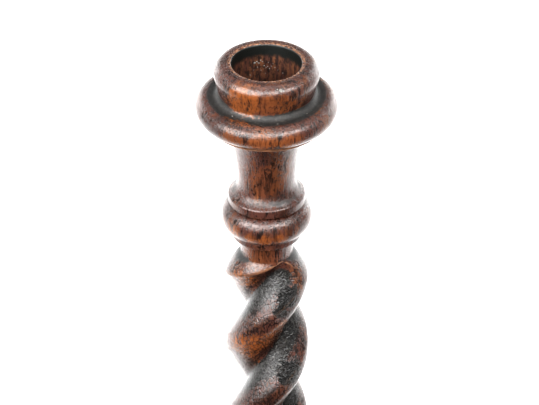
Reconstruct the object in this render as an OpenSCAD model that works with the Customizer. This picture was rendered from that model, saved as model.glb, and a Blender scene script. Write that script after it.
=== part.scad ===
// Turned wooden candlestick with a two-strand barley-twist stem.
// A drip-flanged nozzle is plugged into the stem; the stem stands in a two-tier round base,
// is drawn down by one screw from below, and the whole rests on a baize pad.

/* [Overall] */
// Height from the surface it stands on to the top of the lip
overall_h = 300; // [260:1:360]
// Clearance all round a glued plug, between it and its hole
glue_gap = 0.1; // [0.05:0.05:0.3]

/* [Nozzle] */
// Diameter of the candle socket
socket_d = 25; // [20:0.5:26]
// Depth of the candle socket
socket_depth = 19.5; // [14:0.5:20.5]
// Diameter of the candle cup at its lip
cup_d = 37.9; // [36:0.1:39]
// Diameter of the cup's waist, above the drip flange
cup_waist_d = 34.8; // [33.5:0.1:35.8]
// Depth of the cup's waist below the lip
cup_waist_drop = 10.9; // [9.5:0.1:12]
// Height of the lip's outer round
lip_h = 4.4; // [3:0.1:6]
// Width of the lip's flat top
lip_flat = 1.4; // [0.5:0.1:2.5]
// Rounding of the socket's mouth
mouth_round = 0.8; // [0.4:0.1:1.2]
// Diameter of the drip flange
flange_d = 51.2; // [48:0.1:56]
// Radius of the drip flange's rolled edge
flange_roll = 4.6; // [3.6:0.1:4.8]
// Diameter of the fillet under the flange
flange_fillet_d = 43.8; // [40:0.1:44.4]
// Height of that fillet
flange_fillet_h = 1.3; // [0.8:0.1:2]
// Height of the nozzle, from its seat on the stem to the lip
nozzle_h = 23.8; // [22.8:0.1:28]
// Diameter of the plug under the nozzle
plug_d = 12; // [8:0.5:14]
// Length of the plug
plug_l = 18; // [10:1:24]

/* [Stem turning] */
// Diameter of the neck at its top, where the nozzle sits
neck_top_d = 30; // [25:0.1:32]
// Least diameter of the neck
neck_d = 21.4; // [20:0.1:23]
// Height of the neck, from the nozzle's seat to the collar's edge
neck_h = 31.4; // [28:0.1:38]
// Height of the flare at the bottom of the neck
flare_h = 6.2; // [5:0.1:10]
// Share of the flare that is hollow, before it turns over into the collar's edge
flare_hollow = 0.85; // [0.5:0.05:0.9]
// Diameter of the collar below the neck
collar_d = 28.3; // [27:0.1:30]
// Height of the collar's edge
collar_h = 2.5; // [1.5:0.1:3]
// Diameter at the bottom of the cut between collar and ball
quirk_d = 24.8; // [23.5:0.1:25.5]
// Height of the cut between collar and ball
quirk_h = 0.5; // [0.3:0.1:0.8]
// Diameter of the ball
ball_d = 33.2; // [32:0.1:36]
// Height of the ball
ball_h = 11.8; // [10:0.1:14]
// Width of the ball's round, out from its core
ball_w = 5; // [4.6:0.1:5.2]
// Diameter of the fillet next to the ball
fillet_d = 26.2; // [25:0.1:27]
// Height of the fillet
fillet_h = 2.2; // [1.5:0.1:3]
// Diameter of the throat between fillet and twist
throat_d = 19.4; // [18:0.1:21]
// Height of the throat
throat_h = 8; // [6:0.1:12]

/* [Twist] */
// Diameter over the strands
twist_d = 31.7; // [29:0.1:33]
// Diameter at the bottom of the grooves
groove_floor_d = 15.5; // [14.5:0.1:17.5]
// Rise of one strand in a full turn
twist_lead = 70.2; // [60:0.2:90]
// Steepness of a groove's walls
groove_steep = 1.37; // [1.2:0.01:1.6]
// Height of the round shoulder at each end of the twist
shoulder_h = 11.2; // [8:0.1:14]
// Length over which a groove runs out at its ends
run_out = 8; // [7:0.1:16]
// Compass bearing of the upper end of a groove
groove_end_angle = 307; // [0:1:359]

/* [Foot of the stem] */
// Diameter of the foot where it stands on the base
foot_d = 40; // [34:0.5:44]
// Height of the foot's sweep
foot_h = 12; // [9:0.5:16]
// Height of the straight edge at the bottom of the foot
foot_edge = 2.4; // [1.5:0.1:3]
// Diameter of the tenon that enters the base
tenon_d = 18; // [14:0.5:20]
// Length of the tenon
tenon_l = 15; // [10:0.5:16]

/* [Base] */
// Diameter of the plinth, the lower tier
plinth_d = 124; // [110:1:140]
// Thickness of the plinth
plinth_h = 12; // [11:0.5:16]
// Height of the plinth's rolled edge
plinth_roll_h = 10; // [7:0.5:10.5]
// Width of the ledge between the plinth's roll and the dome
plinth_ledge = 3; // [2:0.5:5]
// Diameter of the dome, the upper tier, at its lower edge
dome_d = 104; // [98:1:108]
// Thickness of the dome
dome_h = 20; // [17.5:0.5:24]
// Height of the dome's straight lower edge
dome_edge = 2.2; // [1.5:0.1:3]
// Width of the step above that edge
dome_step = 1.4; // [0.8:0.1:2]
// Width of the dome's outer round
dome_round_w = 7; // [5:0.5:9]
// Height of the dome's outer round
dome_round_h = 6.4; // [5:0.1:8]
// Diameter of the dome's flat top, inside its bead
dome_top_d = 50; // [46:0.5:56]
// Height of the bead round that top
dome_bead_h = 3.4; // [2.4:0.1:4]
// Width of bare wood between the baize and the start of the plinth's roll
baize_inset = 1; // [0.5:0.5:8]
// Thickness of the baize pad
baize_h = 1.6; // [1:0.1:3]

/* [Fixings] */
// Diameter over the thread of the stem screw
screw_d = 5; // [4:0.1:5.5]
// Length of the stem screw under its head
screw_l = 40; // [34:1:46]
// Diameter of the stem screw's head
screw_head_d = 9.6; // [8:0.1:11]
// Height of the stem screw's head
screw_head_h = 3.2; // [2.5:0.1:3.6]
// Diameter of the washer
washer_d = 15; // [12:0.5:18]
// Thickness of the washer
washer_h = 1.2; // [0.8:0.1:1.6]
// Diameter of the recess that takes washer and head
recess_d = 19; // [19:0.5:22]
// Depth of the recess
recess_depth = 5.5; // [5.3:0.1:6]
// Diameter over the thread of a plinth screw
plinth_screw_d = 4; // [3:0.1:4.5]
// Length of a plinth screw, head included
plinth_screw_l = 18; // [16:0.5:19]
// Diameter of a plinth screw's countersunk head
plinth_screw_head_d = 7.6; // [6:0.1:8]
// Distance of the plinth screws from the middle
plinth_screw_ring = 34; // [26:0.5:38]

/* [Hidden] */

turned_fn = 96;
small_fn = 48;
arc_steps = 12;
overlap = 0.01;          // added to cuts so that no skin is left

wood = [0.33, 0.16, 0.09];
dark_wood = [0.25, 0.12, 0.07];
steel = [0.55, 0.55, 0.56];
baize = [0.10, 0.27, 0.15];

baize_d = plinth_d - plinth_roll_h - 2 * baize_inset;
mortise_gap = 0.5;       // left under the tenon
screw_hole_gap = 1;      // round the stem screw, where it passes through the base
head_gap = 0.4;          // round a screw's head or in a washer's hole

// Heights above the surface, from the bottom up
plinth_z = baize_h;
dome_z = plinth_z + plinth_h;
foot_z = dome_z + dome_h;
low_ball_z = foot_z + foot_h + collar_h + quirk_h;
low_throat_z = low_ball_z + ball_h + fillet_h;
twist_z = low_throat_z + throat_h;

// and from the top down
seat_z = overall_h - nozzle_h;
collar_z = seat_z - neck_h;
ball_top_z = collar_z - collar_h - quirk_h;
throat_top_z = ball_top_z - ball_h - fillet_h;
twist_top_z = throat_top_z - throat_h;

// ---- Outlines: points [radius, height] ----

// Points of an elliptic arc about centre c, from angle a0 to a1
function arc(c, rx, rz, a0, a1, n = arc_steps) =
    [for (i = [0 : n]) let (a = a0 + (a1 - a0) * i / n) [c[0] + rx * cos(a), c[1] + rz * sin(a)]];

// Points of a circle that is vertical at [r, z] and swings out by dx as it climbs by dz
function sweep(r, z, dx, dz) =
    let (rho = (dx * dx + dz * dz) / (2 * abs(dx)), a = asin(abs(dz) / rho))
    [for (i = [0 : arc_steps]) let (t = a * i / arc_steps)
        [r + sign(dx) * rho * (1 - cos(t)), z + sign(dz) * rho * sin(t)]];

function flipped(points) = [for (i = [len(points) - 1 : -1 : 0]) points[i]];

module turned(points) {
    rotate_extrude($fn = turned_fn) polygon(points);
}

// ---- Nozzle ----

flange_roll_c = [flange_d / 2 - flange_roll, seat_z + flange_fillet_h + flange_roll];
cup_waist = [cup_waist_d / 2, overall_h - cup_waist_drop];
// The cove between waist and flange is the circle that touches both
cove_dx = flange_roll_c[0] - cup_waist[0];
cove_dz = cup_waist[1] - flange_roll_c[1];
cove_r = (cove_dx * cove_dx + cove_dz * cove_dz - flange_roll * flange_roll)
         / (2 * (cove_dx + flange_roll));
cove_c = [cup_waist[0] + cove_r, cup_waist[1]];
cove_turn = atan2(cove_dz, flange_roll_c[0] - cove_c[0]);

module nozzle() {
    mouth_c = [socket_d / 2 + mouth_round, overall_h - mouth_round];
    lip_c = [mouth_c[0] + lip_flat, overall_h - lip_h];
    lip_w = cup_d / 2 - lip_c[0];
    outline = concat(
        [[0, seat_z], [flange_fillet_d / 2, seat_z], [flange_fillet_d / 2, seat_z + flange_fillet_h]],
        arc(flange_roll_c, flange_roll, flange_roll, -85, 180 - cove_turn),
        flipped(arc(cove_c, cove_r, cove_r, 180, 360 - cove_turn)),
        arc(lip_c, lip_w, lip_h, -8, 90),
        arc(mouth_c, mouth_round, mouth_round, 90, 180, 6),
        [[0, overall_h - mouth_round]]
    );
    color(wood) difference() {
        union() {
            turned(outline);
            translate([0, 0, seat_z - plug_l])
                cylinder(d = plug_d, h = plug_l + 1, $fn = small_fn);
        }
        translate([0, 0, overall_h - socket_depth])
            cylinder(d = socket_d, h = socket_depth, $fn = turned_fn);
    }
}

// ---- Stem ----

// Angle of a groove's middle at height z; it climbs anticlockwise
function groove_angle(z) = groove_end_angle + 360 * (z - twist_top_z) / twist_lead;

// How far z is inside the twist, from 0 at either end
function inside(z) = min(z - twist_z, twist_top_z - z);

function smooth(t) = let (s = min(max(t, 0), 1)) s * s * (3 - 2 * s);

// Radius of the uncarved blank: the throat, then a round shoulder
shoulder_power = 1.4;
function blank_r(z) =
    let (t = min(max(inside(z) / shoulder_h, 0), 1))
    throat_d / 2 + (twist_d - throat_d) / 2 * (1 - pow(1 - t, shoulder_power));

// Radius of a groove's floor, which rises past the throat where it runs out
floor_lift = 0.6;
run_out_power = 2.4;
function floor_r(z) =
    let (t = min(max(inside(z) / run_out, 0), 1),
         low = groove_floor_d / 2,
         high = throat_d / 2 + floor_lift)
    low + (high - low) * pow(1 - t, run_out_power);

// Rise of a groove's wall at share u of the way from its middle to the strand's crest
groove_soft = 0.13;
function wall_rise(u) = sqrt(pow(groove_steep * u, 2) + pow(groove_soft, 2)) - groove_soft;

// Fall of a strand's round away from its crest
crest_fall = 0.7;
crest_power = 3.4;
function crest_drop(u) = crest_fall * pow(1 - u, crest_power);

// Lesser of two values, with the corner between them eased by s
function eased_min(a, b, s) = (a + b - sqrt((a - b) * (a - b) + s * s)) / 2;

// Softness of the corner between groove and strand, which is crisp at the ends
arris_soft = 0.9;
function arris_here(z) = arris_soft * pow(smooth(inside(z) / shoulder_h), 2);

function twist_r(z, off) =
    let (depth = (twist_d - groove_floor_d) / 2,
         u = abs(((off + 90) % 180) - 90) / 90,
         strand = blank_r(z) - depth * crest_drop(u) * smooth(inside(z) / shoulder_h),
         groove = floor_r(z) + depth * wall_rise(u))
    eased_min(strand, groove, arris_here(z));

twist_sides = 48;
twist_ring_gap = 2;
shoulder_rings = 8;

// Heights of the rings: close together in the shoulders, where the shape changes fast
function ring_heights() =
    let (body = twist_top_z - twist_z - 2 * shoulder_h, n = round(body / twist_ring_gap),
         rise = [for (i = [0 : shoulder_rings]) shoulder_h * (1 - cos(90 * i / shoulder_rings))])
    concat([for (h = rise) twist_z + h],
           [for (i = [1 : n - 1]) twist_z + shoulder_h + body * i / n],
           [for (i = [shoulder_rings : -1 : 0]) twist_top_z - rise[i]]);

// The throats and the carved length between them, with each end let into a fillet
module twist() {
    let_in = fillet_h / 2;
    heights = concat([low_throat_z - let_in], ring_heights(), [throat_top_z + let_in]);
    last = len(heights) - 1;
    points = [for (i = [0 : last], j = [0 : twist_sides - 1])
        let (z = heights[i], off = 360 * j / twist_sides,
             a = groove_angle(min(max(z, twist_z), twist_top_z)) + off,
             r = inside(z) <= 0 ? throat_d / 2 : twist_r(z, off))
        [r * cos(a), r * sin(a), z]];
    sides = [for (i = [0 : last - 1], j = [0 : twist_sides - 1], half = [0, 1])
        let (k = (j + 1) % twist_sides, a = i * twist_sides, b = a + twist_sides)
        half == 0 ? [a + j, b + k, a + k] : [a + j, b + j, b + k]];
    floor_face = [for (j = [0 : twist_sides - 1]) j];
    top_face = [for (j = [twist_sides - 1 : -1 : 0]) last * twist_sides + j];
    polyhedron(points, concat(sides, [floor_face], [top_face]), convexity = 10);
}

// Ball, fillet and throat as they follow one another downwards from height z
function ball_points(z) =
    flipped(arc([ball_d / 2 - ball_w, z - ball_h / 2], ball_w, ball_h / 2, -70, 70));

flare_w = (collar_d - neck_d) / 2;

module upper_turning() {
    turned(concat(
        [[0, seat_z]],
        flipped(sweep(neck_d / 2, collar_z + flare_h, (neck_top_d - neck_d) / 2,
                      neck_h - flare_h)),
        sweep(neck_d / 2, collar_z + flare_h, flare_w * flare_hollow, -flare_h * flare_hollow),
        flipped(sweep(collar_d / 2, collar_z, -flare_w * (1 - flare_hollow),
                      flare_h * (1 - flare_hollow))),
        [[collar_d / 2, collar_z - collar_h], [quirk_d / 2, collar_z - collar_h],
         [quirk_d / 2, ball_top_z]],
        ball_points(ball_top_z),
        [[fillet_d / 2, throat_top_z + fillet_h], [fillet_d / 2, throat_top_z], [0, throat_top_z]]
    ));
}

foot_neck_inset = 1.6;   // of the foot's sweep, inside the lower collar's edge

module lower_turning() {
    foot_top_r = collar_d / 2 - foot_neck_inset;
    turned(concat(
        [[0, low_throat_z], [fillet_d / 2, low_throat_z], [fillet_d / 2, low_throat_z - fillet_h]],
        ball_points(low_ball_z + ball_h),
        [[quirk_d / 2, low_ball_z], [quirk_d / 2, low_ball_z - quirk_h],
         [collar_d / 2, low_ball_z - quirk_h], [collar_d / 2, foot_z + foot_h]],
        sweep(foot_top_r, foot_z + foot_h, foot_d / 2 - foot_top_r, foot_edge - foot_h),
        [[foot_d / 2, foot_z], [0, foot_z]]
    ));
}

module stem() {
    color(dark_wood) difference() {
        union() {
            upper_turning();
            twist();
            lower_turning();
            translate([0, 0, foot_z - tenon_l])
                cylinder(d = tenon_d, h = tenon_l + 1, $fn = small_fn);
        }
        translate([0, 0, seat_z - plug_l - 1])
            cylinder(d = plug_d + 2 * glue_gap, h = plug_l + 1 + overlap, $fn = small_fn);
        translate([0, 0, foot_z - tenon_l - overlap])
            cylinder(d = screw_d + 2 * glue_gap, h = stem_screw_top - (foot_z - tenon_l) + 1,
                     $fn = small_fn);
    }
}

// ---- Base ----

module base_dome() {
    shelf_r = dome_d / 2 - dome_step;
    bead_r = dome_bead_h / 2;
    cove_top = dome_z + dome_h - dome_bead_h;
    cove_foot = [shelf_r - dome_round_w, dome_z + dome_edge + dome_round_h];
    top_r = dome_top_d / 2;
    outline = concat(
        [[0, dome_z], [dome_d / 2, dome_z], [dome_d / 2, dome_z + dome_edge],
         [shelf_r, dome_z + dome_edge]],
        arc([cove_foot[0], dome_z + dome_edge], dome_round_w, dome_round_h, 0, 90),
        arc([cove_foot[0], cove_top], cove_foot[0] - top_r, cove_top - cove_foot[1], 270, 180),
        arc([top_r, cove_top + bead_r], bead_r, bead_r, -90, 90),
        [[0, dome_z + dome_h]]
    );
    color(wood) difference() {
        turned(outline);
        translate([0, 0, foot_z - tenon_l - mortise_gap])
            cylinder(d = tenon_d + 2 * glue_gap, h = tenon_l + 1, $fn = small_fn);
        translate([0, 0, dome_z - overlap])
            cylinder(d = screw_hole_d, h = dome_h, $fn = small_fn);
        for_plinth_screws() cylinder(d = plinth_screw_d + 2 * glue_gap,
            h = plinth_z + plinth_screw_l + mortise_gap, $fn = small_fn);
    }
}

module base_plinth() {
    roll_r = plinth_roll_h / 2;
    ledge_r = dome_d / 2 + plinth_ledge;
    outline = concat(
        [[0, plinth_z]],
        arc([plinth_d / 2 - roll_r, plinth_z + roll_r], roll_r, roll_r, -90, 90),
        [[ledge_r, plinth_z + plinth_roll_h], [ledge_r, dome_z], [0, dome_z]]
    );
    color(dark_wood) difference() {
        turned(outline);
        translate([0, 0, plinth_z - overlap])
            cylinder(d = recess_d, h = recess_depth + overlap, $fn = small_fn);
        translate([0, 0, plinth_z]) cylinder(d = screw_hole_d, h = plinth_h + 1, $fn = small_fn);
        for_plinth_screws() {
            cylinder(d = plinth_screw_d + 2 * glue_gap, h = dome_z + 1, $fn = small_fn);
            translate([0, 0, plinth_z - overlap])
                cylinder(d1 = plinth_screw_head_d + head_gap, d2 = plinth_screw_d + 2 * glue_gap,
                         h = (plinth_screw_head_d - plinth_screw_d + head_gap) / 2 + overlap,
                         $fn = small_fn);
        }
    }
}

module baize_pad() {
    color(baize) cylinder(d = baize_d, h = baize_h, $fn = turned_fn);
}

// ---- Fixings ----

washer_z = plinth_z + recess_depth - washer_h;
stem_screw_top = washer_z + screw_l;
screw_hole_d = screw_d + screw_hole_gap;

// A screw that points up from z = 0, with ridges for its thread over the upper share of its length
module screw_shank(d, l, threaded) {
    pitch = d * 0.42;
    core = d * 0.68;
    tip = d;
    turns = floor((threaded - tip) / pitch);
    cylinder(d = d * 0.9, h = l - threaded, $fn = small_fn);
    cylinder(d = core, h = l - tip, $fn = small_fn);
    translate([0, 0, l - tip]) cylinder(d1 = core, d2 = 0.4, h = tip, $fn = small_fn);
    for (i = [0 : turns - 1])
        translate([0, 0, l - threaded + i * pitch])
            rotate_extrude($fn = small_fn)
                polygon([[0, 0.1], [core / 2, 0.1], [d / 2, pitch / 2 - 0.1], [d / 2, pitch / 2 + 0.1],
                         [core / 2, pitch - 0.1], [0, pitch - 0.1]]);
}

// Cut for the driver, right across a head of diameter d
module slot_cut(w, d, depth) {
    translate([-d, -w / 2, -overlap]) cube([2 * d, w, depth + overlap]);
}

module stem_screw() {
    color(steel) difference() {
        translate([0, 0, washer_z]) union() {
            screw_shank(screw_d, screw_l, screw_l * 0.6);
            translate([0, 0, -screw_head_h]) rotate_extrude($fn = small_fn)
                polygon(concat([[0, screw_head_h], [screw_head_d / 2, screw_head_h]],
                    flipped(arc([0, screw_head_h], screw_head_d / 2, screw_head_h, 270, 360))));
        }
        translate([0, 0, washer_z - screw_head_h])
            slot_cut(screw_head_d / 8, screw_head_d, screw_head_h / 2);
    }
}

module screw_washer() {
    color(steel) translate([0, 0, washer_z]) difference() {
        cylinder(d = washer_d, h = washer_h, $fn = small_fn);
        translate([0, 0, -overlap])
            cylinder(d = screw_d + head_gap, h = washer_h + 2 * overlap, $fn = small_fn);
    }
}

module at_plinth_screw(i) {
    rotate(90 + 120 * i) translate([plinth_screw_ring, 0, 0]) children();
}

module for_plinth_screws() {
    for (i = [0 : 2]) at_plinth_screw(i) children();
}

module plinth_screw(i) {
    head_h = (plinth_screw_head_d - plinth_screw_d) / 2;
    color(steel) at_plinth_screw(i) translate([0, 0, plinth_z]) difference() {
        union() {
            cylinder(d1 = plinth_screw_head_d, d2 = plinth_screw_d, h = head_h, $fn = small_fn);
            screw_shank(plinth_screw_d, plinth_screw_l, plinth_screw_l * 0.6);
        }
        slot_cut(plinth_screw_head_d / 8, plinth_screw_head_d, head_h / 2);
    }
}

nozzle();
stem();
base_dome();
base_plinth();
stem_screw();
screw_washer();
plinth_screw(0);  // plinth_screw_1
plinth_screw(1);  // plinth_screw_2
plinth_screw(2);  // plinth_screw_3
baize_pad();
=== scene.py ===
"""A turned oak candlestick with a two-strand barley-twist stem.

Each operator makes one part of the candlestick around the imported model. Heights come from the
model's own nodes, and the turner's and carver's sizes are the properties below. Lengths are in
metres, and heights go up from the table.
"""
import math

import bmesh
import bpy
import numpy as np
from bpy.props import FloatProperty, FloatVectorProperty, PointerProperty
from mathutils import Matrix, Vector, noise


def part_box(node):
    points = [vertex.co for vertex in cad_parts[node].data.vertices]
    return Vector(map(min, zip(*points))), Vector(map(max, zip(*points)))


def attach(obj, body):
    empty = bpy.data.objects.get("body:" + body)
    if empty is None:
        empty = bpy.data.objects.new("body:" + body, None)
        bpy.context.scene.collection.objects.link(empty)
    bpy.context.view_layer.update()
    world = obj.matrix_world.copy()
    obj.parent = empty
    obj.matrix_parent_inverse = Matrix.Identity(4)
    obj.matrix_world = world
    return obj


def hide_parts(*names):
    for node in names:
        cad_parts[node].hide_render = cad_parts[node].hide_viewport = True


bl_info = {
    "name": "Barley-twist candlestick",
    "version": (1, 0, 0),
    "blender": (4, 5, 0),
    "location": "3D View > Sidebar > Candlestick",
    "description": "Makes a turned oak candlestick with a carved open twist",
    "category": "Add Mesh",
}

MM = 0.001

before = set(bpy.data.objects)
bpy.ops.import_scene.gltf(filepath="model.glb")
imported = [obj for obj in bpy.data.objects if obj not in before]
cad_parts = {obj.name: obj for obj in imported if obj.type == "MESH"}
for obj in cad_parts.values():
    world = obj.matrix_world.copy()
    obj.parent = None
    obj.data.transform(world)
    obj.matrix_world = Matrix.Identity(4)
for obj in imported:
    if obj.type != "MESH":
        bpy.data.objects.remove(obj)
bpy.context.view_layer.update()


# ---- Sizes and colours that a user would change ----

def length(description, millimetres):
    """A length property, with its default given in millimetres."""
    return FloatProperty(description=description, default=millimetres * MM, unit="LENGTH", precision=4)


def share(description, value, highest=1.0):
    """A plain number from nothing to its highest value."""
    return FloatProperty(description=description, default=value, min=0.0, max=highest)


def colour(description, value):
    """A colour property in linear light."""
    return FloatVectorProperty(description=description, default=value, subtype="COLOR", min=0.0, max=1.0)


def angle(description, degrees):
    """An angle property, with its default given in degrees."""
    return FloatProperty(description=description, default=math.radians(degrees), subtype="ANGLE")


class NozzleSizes(bpy.types.PropertyGroup):
    """The candle cup and its drip flange."""
    socket: length("Diameter of the candle socket", 25)
    socket_depth: length("Depth of the candle socket", 19.5)
    mouth_round: length("Rounding of the socket's mouth", 0.8)
    lip: length("Diameter of the cup at its lip", 37.9)
    lip_flat: length("Width of the lip's flat top", 1.4)
    lip_height: length("Height of the lip's outer round", 4.4)
    waist: length("Diameter of the cup above the flange", 34.8)
    waist_drop: length("Depth of the waist below the lip", 10.9)
    flange: length("Diameter of the drip flange", 51.2)
    flange_roll: length("Radius of the flange's rolled edge", 4.6)
    fillet: length("Diameter of the fillet under the flange", 43.8)
    fillet_height: length("Height of that fillet", 1.3)
    plug: length("Diameter of the plug under the nozzle", 12)
    soot_depth: length("How far down the socket is charred", 4.6)


class StemSizes(bpy.types.PropertyGroup):
    """The turned members above and below the twist."""
    neck_top: length("Diameter of the neck under the nozzle", 30)
    neck: length("Least diameter of the neck", 21.4)
    neck_height: length("Height of the neck", 31.4)
    flare_height: length("Height of the flare below the neck", 6.2)
    flare_hollow: share("Share of the flare that is hollow", 0.85)
    collar: length("Diameter of the collar", 28.3)
    collar_height: length("Height of the collar's edge", 2.5)
    quirk: length("Diameter at the bottom of the cut above the ball", 24.8)
    quirk_height: length("Height of that cut", 0.5)
    ball: length("Diameter of the ball", 33.2)
    ball_height: length("Height of the ball", 11.8)
    ball_width: length("Width of the ball's round", 5)
    fillet: length("Diameter of the fillet beside the ball", 26.2)
    fillet_height: length("Height of that fillet", 2.2)
    throat: length("Diameter of the throat", 19.4)
    throat_height: length("Height of the throat", 8)
    foot: length("Diameter of the foot on the base", 40)
    foot_height: length("Height of the foot's sweep", 12)
    foot_edge: length("Height of the foot's straight edge", 2.4)
    tenon: length("Diameter of the tenon in the base", 18)
    plug_hole: length("Diameter of the mortise for the nozzle's plug", 12.2)


class TwistSizes(bpy.types.PropertyGroup):
    """The carved, two-strand length of the stem."""
    strands: length("Diameter over the strands", 31.7)
    groove_floor: length("Diameter at the bottom of the grooves", 15.5)
    lead: length("Rise of one strand in a full turn", 70.2)
    shoulder: length("Height of the round shoulder at each end", 11.2)
    run_out: length("Length over which a groove runs out", 8)
    arris: length("Softness of the edge between groove and strand", 0.9)
    steepness: share("Steepness of the groove's walls", 1.37, 3.0)
    end_angle: angle("Bearing of a groove's upper end", 307)


class BaseSizes(bpy.types.PropertyGroup):
    """The two-tier base and its baize."""
    plinth_roll: length("Height of the plinth's rolled edge", 10)
    ledge: length("Width of the ledge between roll and dome", 3)
    dome_edge: length("Height of the dome's straight lower edge", 2.2)
    dome_step: length("Width of the step above that edge", 1.4)
    dome_round_width: length("Width of the dome's outer round", 7)
    dome_round_height: length("Height of the dome's outer round", 6.4)
    dome_top: length("Diameter of the flat inside the bead", 50)
    dome_bead: length("Height of the bead round that flat", 3.4)
    recess: length("Diameter of the recess for washer and head", 19)
    recess_depth: length("Depth of that recess", 5.5)
    screw_hole: length("Diameter of the stem screw's hole", 6)
    mortise: length("Diameter of the hole for the stem's tenon", 18.2)


class WoodColours(bpy.types.PropertyGroup):
    """Colours of the aged oak."""
    bright: colour("Orange wood where the stain has gone", (0.150, 0.050, 0.0125))
    heart: colour("Worn, warm wood where hands polish it", (0.088, 0.034, 0.015))
    stain: colour("Red-brown stain between the worn places", (0.053, 0.0220, 0.0160))
    streak: colour("Dark streaks along the grain", (0.006, 0.004, 0.0035))
    patina: colour("Old wax and smoke in the hollows", (0.005, 0.0055, 0.005))
    cloud: colour("Deep maroon clouds in the stain", (0.019, 0.0095, 0.0078))
    dust: colour("Grey dust in the old wax", (0.052, 0.050, 0.044))
    arris: colour("Edges rubbed back to light wood", (0.16, 0.085, 0.050))
    soot: colour("Charred wood in the socket", (0.004, 0.005, 0.004))
    bare: colour("Bare wood lower down the socket", (0.105, 0.046, 0.024))


class StageSettings(bpy.types.PropertyGroup):
    """Camera, floor and lamps."""
    distance: length("From the camera to the middle of the lip", 1100)
    view_height: angle("How far above the lip the camera stands, as an angle", 31.17)
    aim_drop: length("How far below the lip the camera aims", 59.7)
    aim_right: length("How far right of the stem the camera aims", 1.05)
    lens: share("Focal length of the camera, in millimetres", 207.5, 1000.0)
    floor_side: length("Side of the square floor", 6000)
    surround: share("Brightness of the studio all round", 0.4, 10.0)
    # The white card glows and shows only in reflections: a painted bright reflection.
    card_light: share("Brightness of the white card beyond the candlestick", 0.85, 20.0)


SETTINGS = {
    "nozzle_sizes": NozzleSizes,
    "stem_sizes": StemSizes,
    "twist_sizes": TwistSizes,
    "base_sizes": BaseSizes,
    "wood_colours": WoodColours,
    "stage_settings": StageSettings,
}


# ---- Heights ----

class Levels:
    """Heights of the joints between the members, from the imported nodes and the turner's sizes."""

    def __init__(self, scene):
        stem = scene.stem_sizes
        self.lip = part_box("nozzle")[1][2]
        self.plug_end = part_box("nozzle")[0][2]
        self.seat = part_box("stem")[1][2]
        self.tenon_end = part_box("stem")[0][2]
        self.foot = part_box("base_dome")[1][2]
        self.collar = self.seat - stem.neck_height
        self.ball = self.collar - stem.collar_height - stem.quirk_height
        self.fillet = self.ball - stem.ball_height
        self.throat = self.fillet - stem.fillet_height
        self.twist_top = self.throat - stem.throat_height
        self.low_ball = self.foot + stem.foot_height + stem.collar_height + stem.quirk_height
        self.low_fillet = self.low_ball + stem.ball_height
        self.low_throat = self.low_fillet + stem.fillet_height
        self.twist_foot = self.low_throat + stem.throat_height


# ---- Outlines: lists of (radius, height) ----

ARC_STEPS = 16
FINE_STEPS = 24
ROLL_STEPS = 40
ROLL_START = -85           # degrees: where the flange's roll leaves its fillet
LIP_START = -8             # degrees: where the lip's round leaves the cup
BALL_REACH = 70            # degrees that the ball's round goes above and below its middle


def arc(centre, width, height, start, end, steps=ARC_STEPS):
    """Points of an elliptic arc, with its angles in degrees."""
    angles = [math.radians(start + (end - start) * step / steps) for step in range(steps + 1)]
    return [(centre[0] + width * math.cos(angle), centre[1] + height * math.sin(angle)) for angle in angles]


def sweep(radius, height, out, climb, steps=ARC_STEPS):
    """Points of a circle that is vertical at its first point and swings out as it climbs."""
    bend = (out * out + climb * climb) / (2 * abs(out))
    turn = math.asin(min(1.0, abs(climb) / bend))
    angles = [turn * step / steps for step in range(steps + 1)]
    return [(radius + math.copysign(bend * (1 - math.cos(angle)), out),
             height + math.copysign(bend * math.sin(angle), climb)) for angle in angles]


def softened(outline, radius, least_turn=math.radians(24), steps=3):
    """The outline with its sharp corners rounded, as rubbing and polish round them."""
    soft = [outline[0]]
    for before, corner, after in zip(outline, outline[1:], outline[2:]):
        into = Vector(corner) - Vector(before)
        away = Vector(after) - Vector(corner)
        if min(into.length, away.length) < 1e-7:
            continue
        if into.angle(away) < least_turn:
            soft.append(corner)
            continue
        cut = min(radius, into.length * 0.45, away.length * 0.45)
        first = Vector(corner) - into.normalized() * cut
        last = Vector(corner) + away.normalized() * cut
        for step in range(steps + 1):
            part = step / steps
            point = first.lerp(Vector(corner), part).lerp(Vector(corner).lerp(last, part), part)
            soft.append(tuple(point))
    soft.append(outline[-1])
    return soft


def refined(outline, longest):
    """The outline with its long stretches divided, so that rings stay close together."""
    fine = [outline[0]]
    for start, end in zip(outline, outline[1:]):
        count = max(1, math.ceil(math.dist(start, end) / longest))
        for step in range(1, count + 1):
            part = step / count
            fine.append((start[0] + (end[0] - start[0]) * part, start[1] + (end[1] - start[1]) * part))
    return fine


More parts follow.
